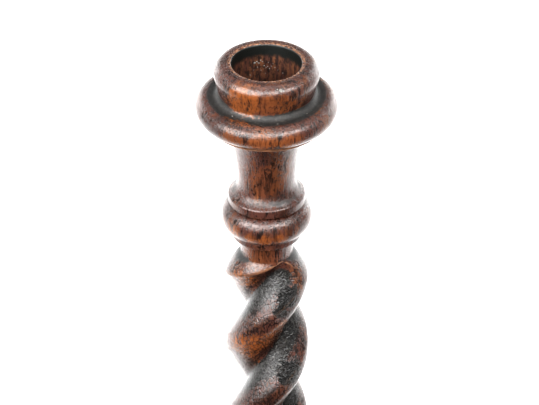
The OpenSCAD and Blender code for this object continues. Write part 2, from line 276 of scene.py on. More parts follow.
def nozzle_outline(sizes, levels):
    """From the plug's end, round the flange and the cup, and down the socket."""
    roll = sizes.flange_roll
    roll_centre = (sizes.flange / 2 - roll, levels.seat + sizes.fillet_height + roll)
    waist = (sizes.waist / 2, levels.lip - sizes.waist_drop)
    across = roll_centre[0] - waist[0]
    down = waist[1] - roll_centre[1]
    cove = (across * across + down * down - roll * roll) / (2 * (across + roll))
    cove_centre = (waist[0] + cove, waist[1])
    turn = math.degrees(math.atan2(down, roll_centre[0] - cove_centre[0]))
    mouth = (sizes.socket / 2 + sizes.mouth_round, levels.lip - sizes.mouth_round)
    lip_centre = (mouth[0] + sizes.lip_flat, levels.lip - sizes.lip_height)
    return [
        (0, levels.plug_end), (sizes.plug / 2, levels.plug_end), (sizes.plug / 2, levels.seat),
        (sizes.fillet / 2, levels.seat), (sizes.fillet / 2, levels.seat + sizes.fillet_height),
        *arc(roll_centre, roll, roll, ROLL_START, 180 - turn, ROLL_STEPS),
        *reversed(arc(cove_centre, cove, cove, 180, 360 - turn)),
        *arc(lip_centre, sizes.lip / 2 - lip_centre[0], sizes.lip_height, LIP_START, 90, FINE_STEPS),
        *arc(mouth, sizes.mouth_round, sizes.mouth_round, 90, 180, 8),
        (sizes.socket / 2, levels.lip - sizes.socket_depth),
        (0, levels.lip - sizes.socket_depth),
    ]


def ball_outline(sizes, top):
    """The ball's round, from its top down."""
    centre = (sizes.ball / 2 - sizes.ball_width, top - sizes.ball_height / 2)
    return arc(centre, sizes.ball_width, sizes.ball_height / 2, BALL_REACH, -BALL_REACH, 30)


FOOT_INSET = 1.6 * MM      # the foot's sweep starts this far inside the collar
PILOT_INSET = 0.4 * MM     # the stem's pilot hole is this much tighter than the base's, all round
END_GAP = 1.0 * MM         # room past the end of the plug and of the screw
TENON_GAP = 0.5 * MM       # room past the end of the tenon


def stem_outline(sizes, base, levels):
    """From the mortise, over the neck and down to the tenon, with the twist's length still round."""
    neck = sizes.neck / 2
    collar = sizes.collar / 2
    flare_top = levels.collar + sizes.flare_height
    neck_rise = sizes.neck_height - sizes.flare_height
    flare = collar - neck
    hollow = sizes.flare_hollow
    round_rise = sizes.flare_height * (1 - hollow)
    low_quirk = levels.low_ball - sizes.quirk_height
    mortise = levels.plug_end - END_GAP
    hole = sizes.plug_hole / 2
    foot_top = collar - FOOT_INSET
    low_collar = levels.foot + sizes.foot_height
    foot_drop = sizes.foot_edge - sizes.foot_height
    pilot = base.screw_hole / 2 - PILOT_INSET
    pilot_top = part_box("stem_screw")[1][2] + END_GAP
    return [
        (0, mortise), (hole, mortise), (hole, levels.seat),
        *reversed(sweep(neck, flare_top, sizes.neck_top / 2 - neck, neck_rise, FINE_STEPS)),
        *sweep(neck, flare_top, flare * hollow, -sizes.flare_height * hollow),
        *reversed(sweep(collar, levels.collar, -flare * (1 - hollow), round_rise, 6)),
        (collar, levels.collar - sizes.collar_height),
        (sizes.quirk / 2, levels.collar - sizes.collar_height),
        (sizes.quirk / 2, levels.ball), *ball_outline(sizes, levels.ball),
        (sizes.fillet / 2, levels.fillet), (sizes.fillet / 2, levels.throat),
        (sizes.throat / 2, levels.throat), (sizes.throat / 2, levels.low_throat),
        (sizes.fillet / 2, levels.low_throat), (sizes.fillet / 2, levels.low_fillet),
        *ball_outline(sizes, levels.low_fillet),
        (sizes.quirk / 2, levels.low_ball), (sizes.quirk / 2, low_quirk),
        (collar, low_quirk), (collar, low_collar),
        *sweep(foot_top, low_collar, sizes.foot / 2 - foot_top, foot_drop, FINE_STEPS),
        (sizes.foot / 2, levels.foot), (sizes.tenon / 2, levels.foot),
        (sizes.tenon / 2, levels.tenon_end),
        (pilot, levels.tenon_end), (pilot, pilot_top), (0, pilot_top),
    ]


def dome_outline(sizes, levels):
    """The base's upper tier, from the mortise's floor round to its top."""
    low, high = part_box("base_dome")
    hole = sizes.screw_hole / 2
    mortise = sizes.mortise / 2
    shelf = high[0] - sizes.dome_step
    bead = sizes.dome_bead / 2
    cove_top = high[2] - sizes.dome_bead
    cove_foot = (shelf - sizes.dome_round_width, low[2] + sizes.dome_edge + sizes.dome_round_height)
    round_centre = (cove_foot[0], low[2] + sizes.dome_edge)
    top = sizes.dome_top / 2
    mortise_floor = levels.tenon_end - TENON_GAP
    edge_top = low[2] + sizes.dome_edge
    return [
        (hole, mortise_floor), (hole, low[2]), (high[0], low[2]), (high[0], edge_top),
        (shelf, edge_top),
        *arc(round_centre, sizes.dome_round_width, sizes.dome_round_height, 0, 90, FINE_STEPS),
        *arc((cove_foot[0], cove_top), cove_foot[0] - top, cove_top - cove_foot[1], 270, 180,
             ROLL_STEPS),
        *arc((top, cove_top + bead), bead, bead, -90, 90, 20),
        (mortise, high[2]), (mortise, mortise_floor), (hole, mortise_floor),
    ]


def plinth_outline(sizes, levels):
    """The base's lower tier, from the recess for the washer round to the ledge."""
    low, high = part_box("base_plinth")
    hole = sizes.screw_hole / 2
    recess = sizes.recess / 2
    recess_top = low[2] + sizes.recess_depth
    roll = sizes.plinth_roll / 2
    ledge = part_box("base_dome")[1][0] + sizes.ledge
    return [
        (hole, recess_top), (recess, recess_top), (recess, low[2]),
        *arc((high[0] - roll, low[2] + roll), roll, roll, -90, 90, ROLL_STEPS),
        (ledge, low[2] + sizes.plinth_roll), (ledge, high[2]), (hole, high[2]), (hole, recess_top),
    ]


# ---- Turning and carving ----

SAME_PLACE = 0.001 * MM    # points nearer than this are one


def turned(name, outline, sides, slots):
    """A mesh object turned from an outline about the vertical axis. slots are its materials."""
    form = bmesh.new()
    turns = [math.tau * side / sides for side in range(sides)]
    closed = math.dist(outline[0], outline[-1]) < SAME_PLACE
    rings = []
    for radius, height in outline[:-1] if closed else outline:
        if radius < SAME_PLACE:
            rings.append([form.verts.new((0, 0, height))] * sides)
        else:
            rings.append([form.verts.new((radius * math.cos(turn), radius * math.sin(turn), height))
                          for turn in turns])
    if closed:
        rings.append(rings[0])
    for ring, following in zip(rings, rings[1:]):
        for side in range(sides):
            corners = (ring[side - 1], ring[side], following[side], following[side - 1])
            form.faces.new(dict.fromkeys(corners))
    bmesh.ops.recalc_face_normals(form, faces=form.faces)
    return finished(name, form, slots)


def finished(name, form, slots):
    """Turns a bmesh into a smooth-shaded object in the scene."""
    for face in form.faces:
        face.smooth = True
    mesh = bpy.data.meshes.new(name)
    form.to_mesh(mesh)
    form.free()
    piece = bpy.data.objects.new(name, mesh)
    bpy.context.scene.collection.objects.link(piece)
    for material in slots:
        mesh.materials.append(material)
    return piece


def positions(mesh):
    """The mesh's points as an array."""
    flat = np.empty(len(mesh.vertices) * 3)
    mesh.vertices.foreach_get("co", flat)
    return flat.reshape(-1, 3)


def move_points(mesh, places):
    """Puts the mesh's points at the given places."""
    mesh.vertices.foreach_set("co", places.reshape(-1))
    mesh.update()


def unevenness(places, scale, seed):
    """Smooth noise from -1 to 1 at each place, with features of about the given size."""
    offset = Vector((seed * 7.31, seed * 3.17, seed * 1.93))
    return np.array([noise.noise(Vector(place) / scale + offset) for place in places])


INWARD_SHIFT = 0.5         # share of the unevenness that keeps the surface inside its turned size
LEAST_RADIUS = 5 * MM      # nearer the axis than this, the surface moves less


def worked_by_hand(piece, amount, size, seed):
    """Moves the surface in by an uneven amount, as hand turning and long wear leave it."""
    places = positions(piece.data)
    radius = np.hypot(places[:, 0], places[:, 1])
    moved = amount * (unevenness(places, size, seed) - INWARD_SHIFT)
    change = 1 + moved / np.maximum(radius, LEAST_RADIUS)
    places[:, 0] *= change
    places[:, 1] *= change
    move_points(piece.data, places)


def eased_min(first, second, softness):
    """The lesser of two values, with the corner between them eased."""
    return (first + second - np.sqrt((first - second) ** 2 + softness ** 2)) / 2


def smooth_step(value):
    """From 0 to 1, level at both ends."""
    part = np.clip(value, 0, 1)
    return part * part * (3 - 2 * part)


GROOVE_SOFTNESS = 0.13     # share of the groove's depth over which its floor is round
STRAND_FALL = 0.70         # how far a strand falls away from its crest, as a share of the depth
STRAND_POWER = 3.4
SHOULDER_POWER = 1.4
RUN_OUT_POWER = 2.4
THROAT_MARGIN = 0.6 * MM   # how far a groove's floor rises past the throat where it ends
GROOVE_SPACING = 180       # degrees from one groove to the next
BLANK_MARGIN = 0.1 * MM    # points this near the blank's outside are carved


def carve_twist(piece, sizes, throat_diameter, levels):
    """Cuts two spiral grooves into the round blank between the throats."""
    places = positions(piece.data)
    radius = np.hypot(places[:, 0], places[:, 1])
    height = places[:, 2]
    blank = throat_diameter / 2
    outside = radius > blank - BLANK_MARGIN
    within = (height > levels.twist_foot) & (height < levels.twist_top) & outside
    z = height[within]
    inside = np.minimum(z - levels.twist_foot, levels.twist_top - z)
    full = sizes.strands / 2
    floor = sizes.groove_floor / 2
    depth = full - floor
    risen = np.clip(inside / sizes.shoulder, 0, 1)
    shoulder = blank + (full - blank) * (1 - (1 - risen) ** SHOULDER_POWER)
    ended = np.clip(inside / sizes.run_out, 0, 1)
    floor_here = floor + (blank + THROAT_MARGIN - floor) * (1 - ended) ** RUN_OUT_POWER
    bearing = np.degrees(np.arctan2(places[within, 1], places[within, 0]))
    groove = math.degrees(sizes.end_angle) + 360 * (z - levels.twist_top) / sizes.lead
    half = GROOVE_SPACING / 2
    from_groove = np.abs((bearing - groove + half) % GROOVE_SPACING - half) / half
    full_form = smooth_step(risen)
    fall = STRAND_FALL * (1 - from_groove) ** STRAND_POWER * full_form
    strand = shoulder - depth * fall
    wall = np.sqrt((sizes.steepness * from_groove) ** 2 + GROOVE_SOFTNESS ** 2) - GROOVE_SOFTNESS
    carved = eased_min(strand, floor_here + depth * wall, sizes.arris * full_form ** 2)
    places[within, :2] *= (carved / radius[within])[:, None]
    move_points(piece.data, places)
    mark = np.zeros(len(places), dtype=np.float32)
    mark[within] = smooth_step(inside / (0.5 * sizes.shoulder))
    piece.data.attributes.new("carved", "FLOAT", "POINT").data.foreach_set("value", mark)


def mark_hollows(piece, name, passes):
    """Stores on each point how hollow (above 0.5) or proud (below 0.5) the surface is there."""
    mesh = piece.data
    places = positions(mesh)
    ends = np.empty(len(mesh.edges) * 2, dtype=np.int64)
    mesh.edges.foreach_get("vertices", ends)
    ends = ends.reshape(-1, 2)
    from_end = ends.reshape(-1)
    to_end = ends[:, ::-1].reshape(-1)
    count = np.bincount(from_end)
    smoothed = places.copy()
    for _ in range(passes):
        for axis in range(3):
            total = np.bincount(from_end, weights=smoothed[to_end, axis])
            smoothed[:, axis] = 0.5 * smoothed[:, axis] + 0.5 * total / count
    normals = np.empty(len(mesh.vertices) * 3)
    mesh.vertices.foreach_get("normal", normals)
    rise = ((smoothed - places) * normals.reshape(-1, 3)).sum(axis=1)
    scale = 3 * np.std(rise) + 1e-9
    value = np.clip(0.5 + 0.5 * rise / scale, 0, 1)
    mesh.attributes.new(name, "FLOAT", "POINT").data.foreach_set("value", value.astype(np.float32))


EDGE_PASSES = 4
HOLLOW_PASSES = 160


def weathered(piece, amount, size, seed, passes=HOLLOW_PASSES):
    """Wears the piece and marks its hollows and edges for the finish."""
    worked_by_hand(piece, amount, size, seed)
    mark_hollows(piece, "hollow", passes)
    mark_hollows(piece, "edge", EDGE_PASSES)


# ---- Materials ----

class Recipe:
    """A material's nodes, added one after another."""

    def __init__(self, name):
        self.material = bpy.data.materials.new(name)
        self.material.use_nodes = True
        self.tree = self.material.node_tree
        self.tree.nodes.clear()

    def add(self, kind, inputs=None, **settings):
        """A node with its settings, and each named or numbered input set or linked."""
        node = self.tree.nodes.new(kind)
        for setting, value in settings.items():
            setattr(node, setting, value)
        for socket, value in (inputs or {}).items():
            self.fill(node.inputs[socket], value)
        return node

    def fill(self, socket, value):
        """Links a socket to another or sets its value. A plain colour is made opaque."""
        if isinstance(value, bpy.types.NodeSocket):
            self.tree.links.new(value, socket)
        elif socket.type == "RGBA":
            socket.default_value = (*value, 1.0)
        else:
            socket.default_value = value

    def place(self, scale=(1, 1, 1)):
        """The point on the object, stretched by scale."""
        point = self.add("ShaderNodeTexCoord").outputs["Object"]
        return self.add("ShaderNodeMapping", {"Vector": point, "Scale": scale}).outputs["Vector"]

    def grain(self, scale, run, detail=3.0, roughness=0.6, distortion=0.0):
        """Noise that runs lengthways up the timber. run is how many times longer than wide it is."""
        return self.noise(scale, (1, 1, 1 / run), detail, roughness, distortion)

    def noise(self, scale, stretch=(1, 1, 1), detail=3.0, roughness=0.6, distortion=0.0):
        """Plain noise, with features one part in scale of a metre across."""
        values = {"Vector": self.place(stretch), "Scale": scale, "Detail": detail,
                  "Roughness": roughness, "Distortion": distortion}
        return self.add("ShaderNodeTexNoise", values).outputs["Fac"]

    def maths(self, operation, first, second=0.0, clamp=False):
        """One sum on two values."""
        values = {0: first, 1: second}
        return self.add("ShaderNodeMath", values, operation=operation, use_clamp=clamp).outputs[0]

    def product(self, *values):
        """The values multiplied together."""
        total = values[0]
        for value in values[1:]:
            total = self.maths("MULTIPLY", total, value)
        return total

    def distance(self, first, second):
        """How far one point is from another."""
        values = {0: first, 1: second}
        return self.add("ShaderNodeVectorMath", values, operation="DISTANCE").outputs["Value"]

    def between(self, value, low, high):
        """0 below low, 1 above high and smooth between; low may be the greater."""
        values = {"Value": value, "From Min": low, "From Max": high}
        return self.add("ShaderNodeMapRange", values, interpolation_type="SMOOTHSTEP").outputs["Result"]

    def scaled(self, value, low, high):
        """The value from 0 to 1 spread from low to high."""
        values = {"Value": value, "To Min": low, "To Max": high}
        return self.add("ShaderNodeMapRange", values).outputs["Result"]

    def blend(self, share_of_second, first, second):
        """A colour between two others."""
        node = self.add("ShaderNodeMix", {"Factor": share_of_second}, data_type="RGBA")
        colours = [socket for socket in node.inputs if socket.type == "RGBA"]
        for socket, value in zip(colours, (first, second)):
            self.fill(socket, value)
        return [socket for socket in node.outputs if socket.type == "RGBA"][0]

    def attribute(self, name):
        """A number stored on the piece's points."""
        return self.add("ShaderNodeAttribute", attribute_name=name).outputs["Fac"]

    def facing_up(self):
        """1 on a level top, 0 on an upright face and -1 underneath."""
        normal = self.add("ShaderNodeNewGeometry").outputs["Normal"]
        return self.add("ShaderNodeSeparateXYZ", {"Vector": normal}).outputs["Z"]

    def near(self, places):
        """How worn the wood is round each place (x, y, z and reach in mm, and its wear from 0 to 1)."""
        point = self.place()
        ragged = self.scaled(self.noise(RAGGED, detail=6, roughness=0.75), -0.8, 0.8)
        most = 0.0
        for x, y, z, reach, worn in places:
            away = self.distance(point, (x * MM, y * MM, z * MM))
            away = self.maths("ADD", away, self.product(ragged, 1.2 * reach * MM))
            inside = self.between(away, 1.1 * reach * MM, 0.5 * reach * MM)
            most = self.maths("MAXIMUM", most, self.product(inside, worn))
        return most

    def round_ring(self, radius, height, reach):
        """1 along a level ring about the axis, and 0 further from it than reach."""
        out = self.distance(self.place((1, 1, 0)), (0, 0, 0))
        section = self.add("ShaderNodeCombineXYZ", {"X": out, "Y": self.height()}).outputs[0]
        return self.between(self.distance(section, (radius, height, 0)), reach, 0.4 * reach)

    def height(self):
        """Height above the table."""
        return self.add("ShaderNodeSeparateXYZ", {"Vector": self.place()}).outputs["Z"]

    def bump(self, height, strength, distance, normal=None):
        """A bumped normal, optionally on top of another."""
        values = {"Height": height, "Strength": strength, "Distance": distance}
        if normal:
            values["Normal"] = normal
        return self.add("ShaderNodeBump", values).outputs["Normal"]

    def surface(self, colour_value, roughness, normal=None, **numbers):
        """Ends the recipe in one shader. numbers are its own sockets, by name with spaces as _."""
        values = {name.replace("_", " "): value for name, value in numbers.items()}
        values.update({"Base Color": colour_value, "Roughness": roughness})
        if normal:
            values["Normal"] = normal
        shader = self.add("ShaderNodeBsdfPrincipled", values)
        self.add("ShaderNodeOutputMaterial", {"Surface": shader.outputs["BSDF"]})
        return self.material


# Features per metre in the oak's patterns
FIGURE, CLOUDS, CLUMPS, STREAKS, PORES, FLECKS = 112, 80, 110, 505, 1500, 950
CRACKLE, CRACKED, PATCHES, SPECKLES, DUST = 600.0, 260, 141, 900, 1300
RAGGED, RUBBING, CHIPS, SHEEN, UNDULATION, PITS, FINE_GRAIN = 420, 700, 1100, 300, 140, 1100, 1300
GRAIN_DEPTH = 0.2 * MM
UNDULATION_DEPTH = 1.2 * MM
PIT_DEPTH = 0.6 * MM


def aged_oak(name, tones, warmth=0.5, grime=0.5, settled=0.5, rubbed=(), pitted=(), ring=None):
    """Dark-stained, waxed oak. warmth is how much is rubbed warm, grime how much is black.
    settled is how much dust lies on what faces up. rubbed and pitted are places where hands have
    worn the stain away, or old wax has gone rough, and ring an edge that is chipped all round."""
    oak = Recipe(name)
    up = oak.facing_up()
    hollow = oak.attribute("hollow")
    edge = oak.attribute("edge")
    carved = oak.attribute("carved")
    bare = oak.near(rubbed)
    rough = oak.near(pitted)

    # Stain, with a warm figure and dark clouds, and bare wood where it is rubbed
    figure = oak.grain(FIGURE, 4, detail=5, roughness=0.65, distortion=0.6)
    warm = oak.between(figure, 0.62 - 0.24 * warmth, 0.76 - 0.24 * warmth)
    wood = oak.blend(warm, tones.stain, tones.heart)
    clouds = oak.between(oak.noise(CLOUDS, (1, 1, 0.6), detail=6, roughness=0.7), 0.46, 0.62)
    wood = oak.blend(oak.product(clouds, 0.65), wood, tones.cloud)
    wood = oak.blend(oak.product(bare, 0.9), wood, tones.bright)

    # Streaks and pores along the grain, flecks, and cracks in the carving
    clumps = oak.scaled(oak.between(oak.noise(CLUMPS, (1, 1, 0.5), detail=2), 0.40, 0.60), 0.25, 1.0)
    streaks = oak.between(oak.grain(STREAKS, 8, detail=5, roughness=0.68, distortion=0.3), 0.50, 0.60)
    pores = oak.between(oak.grain(PORES, 7, detail=3, roughness=0.7), 0.52, 0.62)
    worn_carving = oak.scaled(oak.product(bare, carved), 1.0, 0.45)
    streaks = oak.product(streaks, clumps, 0.90, worn_carving)
    dark_lines = oak.maths("MAXIMUM", streaks, oak.product(pores, 0.60))
    wood = oak.blend(dark_lines, wood, tones.streak)
    flecks = oak.between(oak.noise(FLECKS, (1, 1, 0.6), detail=4, roughness=0.72), 0.54, 0.62)
    flecks = oak.product(flecks, oak.scaled(bare, 0.75, 0.25))
    wood = oak.blend(flecks, wood, tones.streak)
    crackle = oak.add("ShaderNodeTexVoronoi", {"Vector": oak.place((1, 1, 0.7)), "Scale": CRACKLE},
                      feature="DISTANCE_TO_EDGE").outputs["Distance"]
    cracked = oak.scaled(oak.between(oak.noise(CRACKED, detail=4), 0.38, 0.56), 0.4, 1.0)
    cracks = oak.product(oak.between(crackle, 0.13, 0.02), carved, cracked)
    wood = oak.blend(oak.product(cracks, 0.80), wood, tones.streak)

    # Old wax and dust, which lie in the hollows and on what faces up
    lie = oak.product(oak.between(up, 0.0, 0.9), settled)
    sunk = oak.scaled(oak.between(hollow, 0.30, 0.66), -0.30, 0.60)
    carving = oak.product(oak.between(up, 0.05, 0.45), carved, 0.55)
    patches = oak.maths("ADD", oak.product(oak.noise(PATCHES, detail=5, roughness=0.7), 0.6),
                        oak.product(oak.noise(SPECKLES, detail=4, roughness=0.75), 0.5))
    covered = rough
    for cause in (lie, sunk, carving, patches, oak.product(bare, -0.6)):
        covered = oak.maths("ADD", covered, cause)
    covered = oak.between(covered, 1.16 - 0.5 * grime, 1.40 - 0.5 * grime)
    dust = oak.between(oak.noise(DUST, detail=5, roughness=0.8), 0.50, 0.68)
    dust = oak.product(dust, oak.scaled(rough, 1.0, 0.25), 0.7)
    wood = oak.blend(oak.product(covered, 0.94), wood, oak.blend(dust, tones.patina, tones.dust))

    # Edges that are rubbed or chipped back to light wood
    rubbing = oak.product(oak.noise(RUBBING, detail=4, roughness=0.75), -0.28)
    proud = oak.between(oak.maths("ADD", edge, rubbing), 0.06, -0.10)
    proud = oak.product(proud, oak.scaled(carved, 0.8, 0.25))
    if ring:
        chips = oak.between(oak.noise(CHIPS, detail=4, roughness=0.7), 0.46, 0.56)
        proud = oak.maths("MAXIMUM", proud, oak.product(oak.round_ring(*ring), chips))
    wood = oak.blend(proud, wood, tones.arris)

    # Polish, duller where old wax lies, and the feel of the grain
    shine = oak.scaled(oak.noise(SHEEN, detail=5), 0.15, 0.30)
    dulled = oak.product(covered, oak.scaled(carved, 0.34, 0.02))
    shine = oak.maths("ADD", shine, dulled, clamp=True)
    dips = oak.maths("MAXIMUM", dark_lines, oak.maths("MAXIMUM", flecks, cracks))
    normal = oak.bump(oak.product(dips, -1.0), 0.35, GRAIN_DEPTH)
    normal = oak.bump(oak.noise(UNDULATION, detail=3), 0.12, UNDULATION_DEPTH, normal)
    normal = oak.bump(oak.noise(FINE_GRAIN, detail=4, roughness=0.7), 0.30, GRAIN_DEPTH, normal)
    if pitted:
        pits = oak.product(oak.between(oak.noise(PITS, detail=2, roughness=0.6), 0.40, 0.62), rough)
        normal = oak.bump(pits, 0.9, PIT_DEPTH, normal)
    return oak.surface(wood, shine, normal, Specular_IOR_Level=0.55)


def socket_wood(tones, soot_line):
    """Bare oak down the socket, charred black above the soot line."""
    oak = Recipe("socket_wood")
    grain = oak.grain(700, 14, detail=4)
    bare = oak.blend(oak.between(grain, 0.38, 0.62), tones.stain, tones.bare)
    mottle = oak.between(oak.noise(900, (1, 1, 0.5), detail=5, roughness=0.75), 0.44, 0.60)
    bare = oak.blend(oak.product(mottle, 0.85), bare, tones.streak)
    rough_line = oak.product(oak.noise(320, detail=6, roughness=0.75), 5.0 * MM)
    edge = oak.maths("ADD", oak.height(), rough_line)
    charred = oak.between(edge, soot_line + 1.2 * MM, soot_line + 3.4 * MM)
    wood = oak.blend(charred, bare, tones.soot)
    normal = oak.bump(oak.noise(FINE_GRAIN, (1, 1, 0.5), detail=3), 0.35, 0.3 * MM)
    return oak.surface(wood, 0.55, normal)


def candle_wax():
    """Old white wax, a little grey with dust."""
    wax = Recipe("candle_wax")
    tone = wax.blend(wax.noise(1800, detail=3), (0.06, 0.055, 0.05), (0.20, 0.19, 0.175))
    normal = wax.bump(wax.noise(2600, detail=2), 0.3, 0.1 * MM)
    return wax.surface(tone, 0.6, normal, Specular_IOR_Level=0.3)


def dull_steel():
    """Aged steel for the screws and washer."""
    steel = Recipe("dull_steel")
    stain = steel.between(steel.noise(500, detail=5, roughness=0.7), 0.45, 0.70)
    tone = steel.blend(stain, (0.42, 0.41, 0.39), (0.16, 0.09, 0.055))
    shine = steel.scaled(steel.noise(1600, (1, 1, 0.2), detail=3), 0.30, 0.55)
    normal = steel.bump(steel.noise(2200, detail=3), 0.2, 0.1 * MM)
    return steel.surface(tone, shine, normal, Metallic=0.9)


def woven_baize():
    """Green baize: a fine felted weave."""
    cloth = Recipe("woven_baize")
    threads = {"Vector": cloth.place(), "Scale": 420.0, "Distortion": 1.6, "Detail": 2.0,
               "Detail Scale": 3.0}
    warp = cloth.add("ShaderNodeTexWave", threads, bands_direction="X").outputs["Fac"]
    weft = cloth.add("ShaderNodeTexWave", threads, bands_direction="Y").outputs["Fac"]
    weave = cloth.product(warp, weft)
    fibres = cloth.noise(3200, detail=4, roughness=0.7)
    tone = cloth.blend(fibres, (0.020, 0.085, 0.040), (0.070, 0.200, 0.105))
    soiled = cloth.product(cloth.between(cloth.noise(90, detail=3), 0.5, 0.7), 0.35)
    tone = cloth.blend(soiled, tone, (0.045, 0.060, 0.030))
    normal = cloth.bump(weave, 0.35, 0.2 * MM)
    normal = cloth.bump(fibres, 0.5, 0.2 * MM, normal)
    return cloth.surface(tone, 0.95, normal, Sheen_Weight=0.4, Sheen_Roughness=0.5)


def studio_floor():
    """A plain white table top."""
    floor = Recipe("studio_floor")
    tone = floor.blend(floor.noise(6, detail=2), (0.66, 0.66, 0.66), (0.70, 0.70, 0.70))
    return floor.surface(tone, 0.8, Specular_IOR_Level=0.1)


# ---- Operators, one for each part ----

def placed(piece, slot, *nodes):
    """Makes a piece ride on the candlestick and stand for the given nodes, which it hides. slot, its
    finish, is not used.
    """
    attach(piece, "root")
    if nodes:
        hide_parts(*nodes)
    return piece


TURNED_SIDES = 176
RING_GAP = 0.75 * MM
TWIST_SIDES = 150
TWIST_RING_GAP = 0.72 * MM
BAIZE_RING_GAP = 2.5 * MM
WORN_CORNER = 0.35 * MM
BORE_MARGIN = 0.25 * MM    # faces this near the socket's wall count as its wall
FLOOR_MARGIN = 0.1 * MM
# The ring of chips at the mouth: out from the socket's wall, down from the lip, and its reach
RING_OUT, RING_DOWN, RING_REACH = 0.5 * MM, 0.3 * MM, 1.2 * MM

# Worn and pitted places: x, y, height above the table and reach in mm, then how worn from 0 to 1
NOZZLE_RUBBED = (
    (-8.5, -17.0, 293.0, 8.5, 0.9), (0.0, -18.5, 293.5, 6.0, 0.6), (6.5, -17.3, 293.0, 5.0, 0.5),
    (-1.4, -25.5, 281.0, 7.0, 0.65), (8.4, -24.2, 280.5, 6.0, 0.6), (-12.0, -22.5, 280.5, 6.0, 0.5),
)
STEM_RUBBED = (
    (-8.5, -8.5, 211.5, 5.5, 0.95), (-8.5, -11.5, 182.0, 8.0, 1.0), (-3.5, -13.5, 185.0, 7.0, 1.0),
    (2.5, -14.5, 190.0, 4.5, 0.95), (6.5, -13.5, 194.5, 3.5, 0.9), (-6.0, -15.5, 234.5, 3.0, 0.7),
    (-1.0, -16.4, 234.0, 3.2, 0.8), (4.5, -15.9, 234.5, 3.0, 0.7), (-12.0, -11.2, 235.5, 4.0, 0.7),
    (0.0, -11.0, 256.0, 9.0, 0.30), (-1.5, -9.6, 223.5, 8.0, 0.35),
)
STEM_PITTED = (
    (8.8, -12.0, 205.5, 5.2, 1.0), (5.5, -14.2, 200.5, 3.8, 1.0), (9.5, -11.8, 171.0, 6.0, 1.0),
)


class Part:
    """What every part's operator does: makes the part, and says that it is done."""

    def execute(self, context):
        self.make(context.scene, Levels(context.scene))
        return {"FINISHED"}


class CANDLESTICK_OT_nozzle(Part, bpy.types.Operator):
    """Make the candle cup with its drip flange and plug"""
    bl_idname = "candlestick.nozzle"
    bl_label = "Nozzle"

    def make(self, scene, levels):
        sizes = scene.nozzle_sizes
        tones = scene.wood_colours
        outline = refined(softened(nozzle_outline(sizes, levels), WORN_CORNER), RING_GAP)
        mouth = (sizes.socket / 2 + RING_OUT, levels.lip - RING_DOWN, RING_REACH)
        slots = [
            aged_oak("nozzle_oak", tones, warmth=0.5, grime=0.58, rubbed=NOZZLE_RUBBED, ring=mouth),
            socket_wood(tones, levels.lip - sizes.soot_depth),
        ]
        nozzle = turned("turned_nozzle", outline, TURNED_SIDES, slots)
        bore = sizes.socket / 2 + BORE_MARGIN
        floor = levels.lip - sizes.socket_depth - FLOOR_MARGIN
        for face in nozzle.data.polygons:
            centre = face.center
            if math.hypot(centre.x, centre.y) < bore and centre.z > floor:
                face.material_index = 1
        weathered(nozzle, amount=0.10 * MM, size=9 * MM, seed=3)
        placed(nozzle, "nozzle_wood", "nozzle")


class CANDLESTICK_OT_stem(Part, bpy.types.Operator):
    """Turn the stem and carve its twist"""
    bl_idname = "candlestick.stem"
    bl_label = "Stem"

    def make(self, scene, levels):
        outline = softened(stem_outline(scene.stem_sizes, scene.base_sizes, levels), WORN_CORNER)
        oak = aged_oak("stem_oak", scene.wood_colours, warmth=0.5, grime=0.2,
                       rubbed=STEM_RUBBED, pitted=STEM_PITTED)
        stem = turned("twisted_stem", refined(outline, TWIST_RING_GAP), TWIST_SIDES, [oak])
        carve_twist(stem, scene.twist_sizes, scene.stem_sizes.throat, levels)
        weathered(stem, amount=0.14 * MM, size=9 * MM, seed=5, passes=120)
        placed(stem, "stem_wood", "stem")


class CANDLESTICK_OT_base(Part, bpy.types.Operator):
    """Turn the dome and the plinth of the base"""
    bl_idname = "candlestick.base"
    bl_label = "Base"

    def make(self, scene, levels):
        sizes = scene.base_sizes
        oak = aged_oak("base_oak", scene.wood_colours, warmth=0.5, grime=0.2, settled=0.2)
        tiers = (("base_upper_tier", dome_outline(sizes, levels), "base_dome"),
                 ("base_lower_tier", plinth_outline(sizes, levels), "base_plinth"))
        for name, outline, node in tiers:
            tier = turned(name, refined(softened(outline, WORN_CORNER), RING_GAP), TURNED_SIDES, [oak])
            weathered(tier, amount=0.12 * MM, size=14 * MM, seed=7)
            placed(tier, "base_wood", node)


class CANDLESTICK_OT_baize(Part, bpy.types.Operator):
    """Lay the baize pad under the base"""
    bl_idname = "candlestick.baize"
    bl_label = "Baize pad"

    def make(self, scene, levels):
        low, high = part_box("baize_pad")
        radius = high[0]
        bulge = (high[2] - low[2]) / 2
        middle = low[2] + bulge
        edge = arc((radius - bulge, middle), bulge, bulge, -90, 90, 8)
        outline = refined([(0, low[2]), *edge, (0, high[2])], BAIZE_RING_GAP)
        pad = turned("baize_underside", outline, TURNED_SIDES, [woven_baize()])
        placed(pad, "baize", "baize_pad")


class CANDLESTICK_OT_fixings(Part, bpy.types.Operator):
    """Give the screws and the washer their steel"""
    bl_idname = "candlestick.fixings"
    bl_label = "Screws and washer"

    def make(self, scene, levels):
        steel = dull_steel()
        for name in ("stem_screw", "screw_washer", "plinth_screw_1", "plinth_screw_2", "plinth_screw_3"):
            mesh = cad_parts[name].data
            mesh.materials.clear()
            mesh.materials.append(steel)


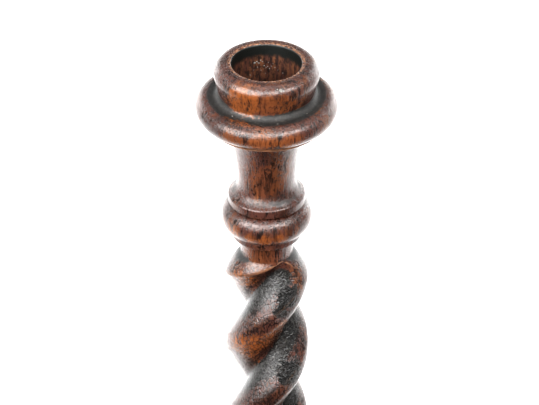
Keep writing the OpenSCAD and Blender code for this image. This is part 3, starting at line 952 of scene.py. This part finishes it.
# Traces of wax on the socket's wall: bearing in degrees, then depth, width and height in mm
WAX_ON_WALL = (
    (110, 7.4, 1.0, 0.9), (106, 7.0, 0.8, 0.6), (103, 7.7, 0.9, 0.5), (100, 6.6, 0.7, 0.5),
    (97, 7.2, 0.6, 0.4), (94, 9.0, 0.5, 0.6), (91, 9.8, 0.4, 0.4), (88, 9.4, 0.5, 0.4),
    (85, 10.2, 0.4, 0.5), (82, 9.1, 0.4, 0.4), (118, 12.0, 0.7, 0.4), (76, 9.6, 0.4, 0.4),
    (62, 11.2, 0.4, 0.4), (112, 10.3, 0.4, 0.4), (99, 10.8, 0.3, 0.5), (87, 7.6, 0.4, 0.3),
    (79, 8.0, 0.3, 0.3), (105, 9.4, 0.3, 0.4), (71, 10.4, 0.3, 0.3), (92, 12.2, 0.3, 0.4),
)
# Traces of wax on the outside: bearing in degrees, then radius, depth below the lip and width in mm
WAX_OUTSIDE = (
    (-74, 18.0, 1.1, 1.3), (-77.5, 17.6, 0.75, 0.6), (-128, 19.6, 12.9, 0.5), (-79, 20.3, 13.3, 0.5),
    (-44, 19.8, 12.8, 0.4), (101, 12.9, 0.34, 0.9),
)
WAX_THICKNESS = 0.22 * MM  # half the thickness of a trace on the wall
WAX_FLATNESS = 0.3         # thickness of a trace outside, as a share of its width
WAX_LEAN = 35              # degrees that a trace outside leans with the surface
WAX_ROUGHNESS = 0.08 * MM
WAX_LUMPS = 0.5 * MM


class CANDLESTICK_OT_wax(Part, bpy.types.Operator):
    """Leave small traces of candle wax in the socket and on the cup"""
    bl_idname = "candlestick.wax"
    bl_label = "Traces of wax"

    def make(self, scene, levels):
        wall = scene.nozzle_sizes.socket / 2
        form = bmesh.new()
        for bearing, down, width, height in WAX_ON_WALL:
            size = (WAX_THICKNESS, width * MM / 2, height * MM / 2)
            self.drop(form, bearing, wall, levels.lip - down * MM, size, 0)
        for bearing, radius, down, width in WAX_OUTSIDE:
            half = width * MM / 2
            size = (half, half, WAX_FLATNESS * half)
            self.drop(form, bearing, radius * MM, levels.lip - down * MM, size, WAX_LEAN)
        for vert in form.verts:
            vert.co += Vector((1, 1, 1)) * (WAX_ROUGHNESS * noise.noise(vert.co / WAX_LUMPS))
        wax = finished("wax_traces", form, [candle_wax()])
        placed(wax, "nozzle_wood")

    def drop(self, form, bearing, radius, height, size, lean):
        """One flattened drop, turned to face out from the axis."""
        turn = Matrix.Rotation(math.radians(bearing), 4, "Z")
        tilt = Matrix.Rotation(math.radians(lean), 4, "Y")
        stretch = Matrix.Diagonal((*size, 1.0))
        place = turn @ Matrix.Translation((radius, 0, height)) @ tilt @ stretch
        bmesh.ops.create_icosphere(form, subdivisions=3, radius=1.0, matrix=place)


CARD_HALF_WIDTH = 1.6
CARD_LIFT = 0.5 * MM       # the cards lie just above the floor
# Softboxes: name, height and bearing in degrees, distance, width and height in metres, then watts
SOFTBOXES = (
    ("top_softbox", 84, 180, 1.4, (1.3, 0.9), 8),
    ("left_softbox", 31, -45, 1.3, (1.5, 0.95), 46),
    ("left_rim_light", 4, -138, 1.4, (0.8, 0.8), 6),
    ("right_rim_light", 4, 138, 1.4, (0.8, 0.8), 8),
    ("right_softbox", 42, 38, 1.3, (1.3, 0.55), 28),
)


class CANDLESTICK_OT_stage(Part, bpy.types.Operator):
    """Set up the floor, the lamps and the camera"""
    bl_idname = "candlestick.stage"
    bl_label = "Stage"

    def make(self, scene, levels):
        settings = scene.stage_settings
        lip = Vector((0, 0, levels.lip))
        self.floor(settings)
        self.surround(scene, settings)
        self.camera(scene, settings, lip)
        # Painted reflections: a near-black card in front darkens what the candlestick reflects on the
        # camera's side, and a glowing white card beyond it gives a bright reflection. Neither shows to the
        # camera or lights anything directly.
        self.card("dark_reflection_card", near=-1.54, far=-0.06, rise=0, shade=0.01)
        self.card("glowing_reflection_card", near=0.06, far=1.6, rise=0.55, shade=0.8, light=settings.card_light)
        for softbox in SOFTBOXES:
            self.lamp(lip, *softbox)
        scene.view_settings.view_transform = "Standard"
        scene.view_settings.look = "High Contrast"

    def floor(self, settings):
        """A large plain square for the candlestick to stand on."""
        form = bmesh.new()
        bmesh.ops.create_grid(form, x_segments=4, y_segments=4, size=settings.floor_side / 2)
        finished("floor", form, [studio_floor()])

    def surround(self, scene, settings):
        """The white walls of the studio."""
        world = bpy.data.worlds.new("surround")
        world.use_nodes = True
        background = world.node_tree.nodes["Background"]
        background.inputs["Color"].default_value = (1, 1, 1, 1)
        background.inputs["Strength"].default_value = settings.surround
        scene.world = world

    def card(self, name, near, far, rise, shade, light=0.0):
        """A card on the table, bent up at its far side when rise is given, which shows only in reflections.
        It is a painted reflection: near black for the dark card, or glowing with light for the white card.
        """
        recipe = Recipe(name)
        finish = recipe.surface((shade, shade, shade), 0.9, Specular_IOR_Level=0.0,
                                Emission_Strength=light, Emission_Color=(1, 1, 1))
        form = bmesh.new()
        rows = [(near, 0), (far, 0), (far, rise)] if rise else [(near, 0), (far, 0)]
        edges = [[form.verts.new((side * CARD_HALF_WIDTH, along, CARD_LIFT + up)) for side in (-1, 1)]
                 for along, up in rows]
        for (left, right), (next_left, next_right) in zip(edges, edges[1:]):
            form.faces.new((left, right, next_right, next_left))
        sheet = finished(name, form, [finish])
        sheet.visible_camera = False
        sheet.visible_diffuse = False
        sheet.visible_shadow = False

    def lamp(self, aim, name, rise, bearing, distance, size, power):
        """A softbox that faces the aim. bearing is 0 on the camera's side and grows to the right."""
        data = bpy.data.lights.new(name, "AREA")
        data.shape = "RECTANGLE"
        data.size = size[0]
        data.size_y = size[1]
        data.energy = power
        lamp = bpy.data.objects.new(name, data)
        bpy.context.scene.collection.objects.link(lamp)
        turn = Matrix.Rotation(math.radians(bearing), 3, "Z")
        tilt = Matrix.Rotation(math.radians(-rise), 3, "X")
        lamp.location = aim + turn @ tilt @ Vector((0, -distance, 0))
        lamp.rotation_euler = (aim - lamp.location).to_track_quat("-Z", "Y").to_euler()

    def camera(self, scene, settings, lip):
        """The camera, which looks down on the candle cup."""
        data = bpy.data.cameras.new("camera")
        data.lens = settings.lens
        data.clip_start = 0.01
        camera = bpy.data.objects.new("camera", data)
        scene.collection.objects.link(camera)
        out = settings.distance * math.cos(settings.view_height)
        camera.location = lip + Vector((0, -out, settings.distance * math.sin(settings.view_height)))
        aim = lip + Vector((settings.aim_right, 0, -settings.aim_drop))
        camera.rotation_euler = (aim - camera.location).to_track_quat("-Z", "Y").to_euler()
        scene.camera = camera


PARTS = (
    CANDLESTICK_OT_nozzle,
    CANDLESTICK_OT_stem,
    CANDLESTICK_OT_base,
    CANDLESTICK_OT_baize,
    CANDLESTICK_OT_fixings,
    CANDLESTICK_OT_wax,
    CANDLESTICK_OT_stage,
)


def label(identifier):
    """Words for the panel from a property's identifier."""
    return identifier.replace("_", " ").capitalize()


class CANDLESTICK_PT_parts(bpy.types.Panel):
    """Buttons and sizes for the candlestick"""
    bl_idname = "CANDLESTICK_PT_parts"
    bl_label = "Candlestick"
    bl_space_type = "VIEW_3D"
    bl_region_type = "UI"
    bl_category = "Candlestick"

    def draw(self, context):
        layout = self.layout
        for part in PARTS:
            layout.operator(part.bl_idname)
        for name in SETTINGS:
            box = layout.box()
            box.label(text=label(name))
            group = getattr(context.scene, name)
            for entry in group.bl_rna.properties:
                if entry.identifier not in ("rna_type", "name"):
                    box.prop(group, entry.identifier, text=label(entry.identifier))


CLASSES = (*SETTINGS.values(), *PARTS, CANDLESTICK_PT_parts)


def register():
    for entry in CLASSES:
        bpy.utils.register_class(entry)
    for name, group in SETTINGS.items():
        setattr(bpy.types.Scene, name, PointerProperty(type=group))


def unregister():
    for name in SETTINGS:
        delattr(bpy.types.Scene, name)
    for entry in reversed(CLASSES):
        bpy.utils.unregister_class(entry)


def main():
    """Makes the whole candlestick."""
    register()
    for part in PARTS:
        group, name = part.bl_idname.split(".")
        getattr(getattr(bpy.ops, group), name)()


if __name__ == "__main__":
    main()
